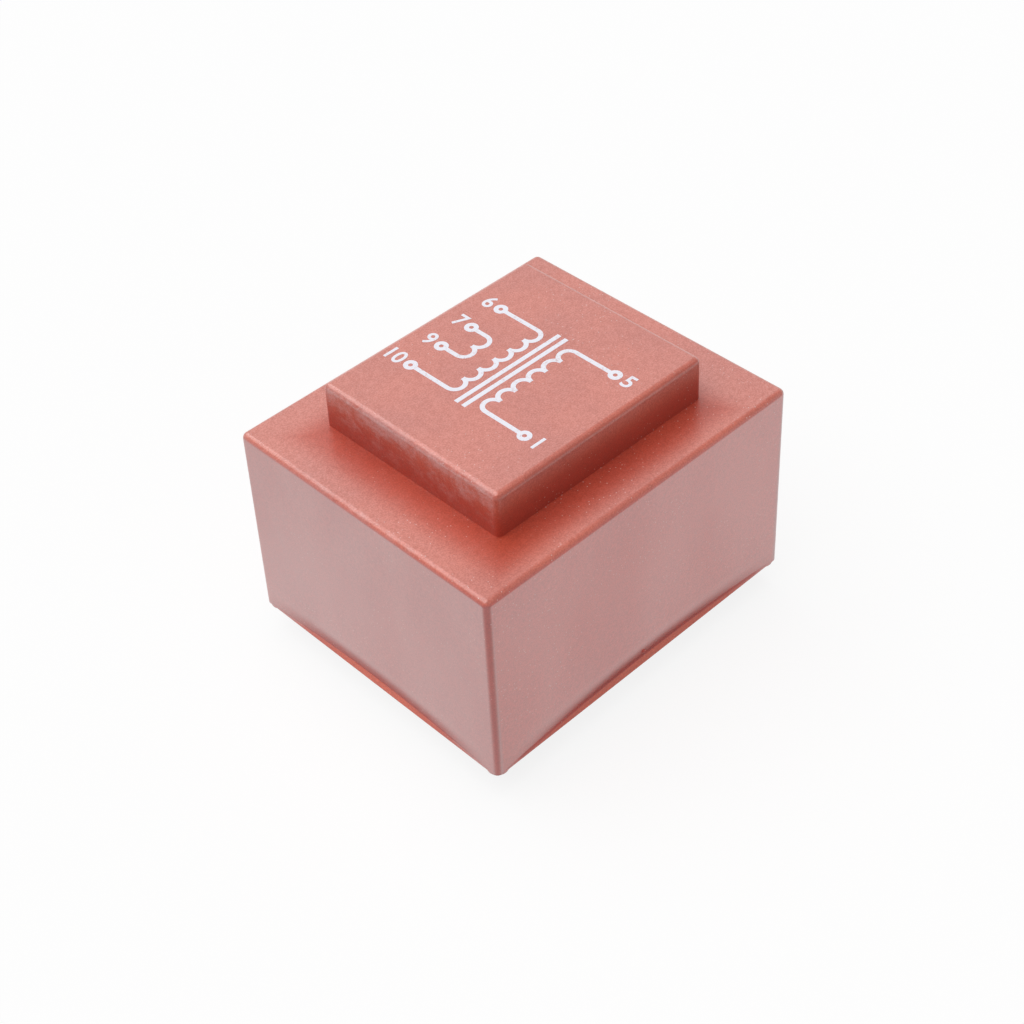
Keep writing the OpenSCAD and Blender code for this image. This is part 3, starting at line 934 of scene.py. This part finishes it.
resin = make_resin()
pin_tin = make_metal("tinned_pin_wire", (0.66, 0.65, 0.62, 1), ALONG_PIN, 0.22, 0.42)
solder_tin = make_metal("bright_solder", (0.70, 0.70, 0.69, 1), EVERY_WAY, 0.15, 0.3)
copper = make_metal("lacquered_copper", (0.72, 0.30, 0.14, 1), EVERY_WAY, 0.2, 0.35)
steel = make_metal("stamped_core_steel", (0.42, 0.43, 0.44, 1), ALONG_SHEET, 0.35, 0.55)
tape = make_plain("yellow_polyester_tape", *TAPE_TONES, scale=300, smooth=0.3, depth=0.01 * MM)
former = make_plain("black_former_plastic", *FORMER_TONES, scale=900, smooth=0.45, depth=0.02 * MM)

# %% Give each carried-over solid its finish
finishes = {
    "potting": resin, "coil_former": former, "solder_joints": solder_tin,
    "e_laminations": steel, "i_laminations": steel,
    "primary_winding": copper, "inner_secondary": copper, "outer_secondary": copper,
    "interlayer_tape": tape, "primary_tape": tape, "secondary_tape": tape,
}
pin_names = sorted(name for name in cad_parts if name.startswith("pin_"))
finishes.update({name: pin_tin for name in pin_names})
for name, material in finishes.items():
    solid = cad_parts[name]
    solid.data.materials.clear()
    solid.data.materials.append(material)
print("finished solids:", len(finishes), "of", len(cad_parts) - 1)

# %% [markdown]
# ## Resin collars round the pins
# Liquid resin climbs a little up each pin before it sets. The collar is the same at every pin, so a
# Geometry Nodes tree sets copies of one ring on the pins' places. The ring's section is a small
# hollow curve, swept round a circle of the pin's own radius.

# %% Geometry Nodes: a collar at each pin
potting_low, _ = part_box("potting")
COLLAR_REACH = 0.55 * MM
COLLAR_CLIMB = 0.45 * MM
COLLAR_SINK = 0.05 * MM
COLLAR_STEPS = 8
COLLAR_TURNS = 40
PIN_ROOT_R = 0.6 * MM


def collar_section():
    """Half the section of a collar: it starts on the pin and flares out into the resin's face."""
    points = [(-COLLAR_SINK, COLLAR_SINK), (-COLLAR_SINK, -COLLAR_CLIMB)]
    for step in range(COLLAR_STEPS + 1):
        a = math.radians(90 * step / COLLAR_STEPS)
        points.append((COLLAR_REACH * (1 - math.cos(a)), -COLLAR_CLIMB * (1 - math.sin(a))))
    points.append((COLLAR_REACH, COLLAR_SINK))
    return points


def collar_tree(section):
    tree = bpy.data.node_groups.new("collar_at_each_pin", "GeometryNodeTree")
    sockets = tree.interface
    sockets.new_socket("Pin places", in_out="INPUT", socket_type="NodeSocketGeometry")
    sockets.new_socket("Pin radius", in_out="INPUT", socket_type="NodeSocketFloat")
    sockets.new_socket("Section", in_out="INPUT", socket_type="NodeSocketObject")
    sockets.new_socket("Resin", in_out="INPUT", socket_type="NodeSocketMaterial")
    sockets.new_socket("Collars", in_out="OUTPUT", socket_type="NodeSocketGeometry")
    given = tree.nodes.new("NodeGroupInput").outputs
    ring = tree.nodes.new("GeometryNodeCurvePrimitiveCircle")
    ring.inputs["Resolution"].default_value = COLLAR_TURNS
    drawn = tree.nodes.new("GeometryNodeObjectInfo")
    sweep = tree.nodes.new("GeometryNodeCurveToMesh")
    copies = tree.nodes.new("GeometryNodeInstanceOnPoints")
    realize = tree.nodes.new("GeometryNodeRealizeInstances")
    paint = tree.nodes.new("GeometryNodeSetMaterial")
    result = tree.nodes.new("NodeGroupOutput")
    for source, target in (
        (given["Pin radius"], ring.inputs["Radius"]),
        (given["Section"], drawn.inputs["Object"]),
        (ring.outputs["Curve"], sweep.inputs["Curve"]),
        (drawn.outputs["Geometry"], sweep.inputs["Profile Curve"]),
        (given["Pin places"], copies.inputs["Points"]),
        (sweep.outputs["Mesh"], copies.inputs["Instance"]),
        (copies.outputs["Instances"], realize.inputs["Geometry"]),
        (realize.outputs["Geometry"], paint.inputs["Geometry"]),
        (given["Resin"], paint.inputs["Material"]),
        (paint.outputs["Geometry"], result.inputs["Collars"]),
    ):
        tree.links.new(source, target)
    return tree


section_curve = bpy.data.curves.new("collar_section", "CURVE")
section_curve.dimensions = "2D"
section_spline = section_curve.splines.new("POLY")
section_points = collar_section()
section_spline.points.add(len(section_points) - 1)
section_spline.use_cyclic_u = True
for point, (out, down) in zip(section_spline.points, section_points):
    point.co = (out, down, 0, 1)
section_object = bpy.data.objects.new("collar_section", section_curve)
bpy.context.scene.collection.objects.link(section_object)

pin_boxes = [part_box(name) for name in pin_names]
pin_places = [((low.x + high.x) / 2, (low.y + high.y) / 2, potting_low.z) for low, high in pin_boxes]
place_mesh = bpy.data.meshes.new("pin_places")
place_mesh.from_pydata(pin_places, [], [])
place_object = bpy.data.objects.new("pin_places", place_mesh)
bpy.context.scene.collection.objects.link(place_object)
collar_mesh = grown(place_object, collar_tree(section_object), {
    "Pin radius": PIN_ROOT_R, "Section": section_object, "Resin": resin})
bpy.data.objects.remove(section_object)
collar_heights = [v.co.z / MM for v in collar_mesh.vertices]
print("collar heights in mm:", round(min(collar_heights), 2), round(max(collar_heights), 2))
resin_collars = finish_piece("resin_collars", collar_mesh, resin)

# %% [markdown]
# ## Studio
# The object stands on a white floor under one very broad light, high up and a little to the left.
# A light box would need several area lights. A sun with a wide angle gives the same soft edges from
# one light. The sky is even and dim as a light, but the camera and reflections see it white.

# %% World and key light
SKY_LIGHT = 0.22
KEY_STRENGTH = 2.3
KEY_FROM = Vector((-0.25, 0.2, 1.0))
KEY_SPREAD = 75


def sees_background(tree):
    """1 for rays that show the background as such: the camera's, and those that mirror or refract."""
    ray = tree.nodes.new("ShaderNodeLightPath").outputs
    seen = maths(tree, "MAXIMUM", ray["Is Camera Ray"], ray["Is Glossy Ray"])
    return maths(tree, "MAXIMUM", seen, ray["Is Transmission Ray"])


world = bpy.data.worlds.new("studio_sky")
bpy.context.scene.world = world
world.use_nodes = True
sky = world.node_tree
dim = sky.nodes["Background"]
dim.inputs["Strength"].default_value = SKY_LIGHT
dim.inputs["Color"].default_value = (1, 1, 1, 1)
white = sky.nodes.new("ShaderNodeBackground")
white.inputs["Color"].default_value = (1, 1, 1, 1)
choose = sky.nodes.new("ShaderNodeMixShader")
sky.links.new(sees_background(sky), choose.inputs[0])
sky.links.new(dim.outputs[0], choose.inputs[1])
sky.links.new(white.outputs[0], choose.inputs[2])
sky.links.new(choose.outputs[0], sky.nodes["World Output"].inputs["Surface"])

key = bpy.data.lights.new("key_light", "SUN")
key.energy = KEY_STRENGTH
key.angle = math.radians(KEY_SPREAD)
key_object = bpy.data.objects.new("key_light", key)
key_object.rotation_mode = "QUATERNION"
key_object.rotation_quaternion = KEY_FROM.to_track_quat("Z", "Y")
bpy.context.scene.collection.objects.link(key_object)

# %% [markdown]
# ## Floor
# A plain white floor would render grey. This one glows for the rays that see the background, which
# lifts it to white and leaves the object's shadow soft and pale, and the light that it sends back
# up is set apart, by the light path too. Its back face is clear, so that views from below see past.

# %% Floor
FLOOR_HALF = 1.5
FLOOR_GLOW = 0.86
FLOOR_SEEN = (0.98, 0.98, 0.98, 1)
FLOOR_BOUNCE = (0.85, 0.85, 0.85, 1)

floor_mesh = bpy.data.meshes.new("floor")
signs = ((-1, -1), (1, -1), (1, 1), (-1, 1))
corners = [(x * FLOOR_HALF, y * FLOOR_HALF, cad_low.z) for x, y in signs]
floor_mesh.from_pydata(corners, [], [(0, 1, 2, 3)])
floor = bpy.data.objects.new("floor", floor_mesh)
bpy.context.scene.collection.objects.link(floor)
floor_finish, tree, shader, _ = new_finish("white_floor")
floor_white = blend_colours(tree, sees_background(tree), FLOOR_BOUNCE, FLOOR_SEEN)
tree.links.new(floor_white, shader.inputs["Base Color"])
shader.inputs["Roughness"].default_value = 0.9
shader.inputs["Specular IOR Level"].default_value = 0.1
glow = tree.nodes.new("ShaderNodeEmission")
floor_mix = tree.nodes.new("ShaderNodeMixShader")
clear = tree.nodes.new("ShaderNodeBsdfTransparent")
one_sided = tree.nodes.new("ShaderNodeMixShader")
tree.links.new(product(tree, sees_background(tree), FLOOR_GLOW), floor_mix.inputs[0])
tree.links.new(shader.outputs[0], floor_mix.inputs[1])
tree.links.new(glow.outputs[0], floor_mix.inputs[2])
tree.links.new(tree.nodes.new("ShaderNodeNewGeometry").outputs["Backfacing"], one_sided.inputs[0])
tree.links.new(floor_mix.outputs[0], one_sided.inputs[1])
tree.links.new(clear.outputs[0], one_sided.inputs[2])
tree.links.new(one_sided.outputs[0], tree.nodes["Material Output"].inputs["Surface"])
floor_mesh.materials.append(floor_finish)

# %% [markdown]
# ## Camera
# The camera looks down at the front left corner, from as far as a product picture is taken, so the
# upright edges lean in only slightly. It is given by its place, the point it looks at, and a small
# tilt about its own line of sight.

# %% Camera
CAMERA_PLACE = Vector((-119.94, -129.74, 173.25)) * MM
LOOKS_AT = Vector((-4.57, -3.61, 17.4)) * MM
CAMERA_TILT = -3.11
LENS = 66.74
SENSOR_WIDTH = 36
NEAR_CLIP = 5 * MM

camera = bpy.data.cameras.new("camera")
camera.lens = LENS
camera.sensor_width = SENSOR_WIDTH
camera.clip_start = NEAR_CLIP
camera_object = bpy.data.objects.new("camera", camera)
sight = (LOOKS_AT - CAMERA_PLACE).to_track_quat("-Z", "Y").to_matrix().to_4x4()
tilt = Matrix.Rotation(math.radians(CAMERA_TILT), 4, "Z")
camera_object.matrix_world = Matrix.Translation(CAMERA_PLACE) @ sight @ tilt
bpy.context.scene.collection.objects.link(camera_object)
bpy.context.scene.camera = camera_object
bpy.context.scene.view_settings.view_transform = "Standard"
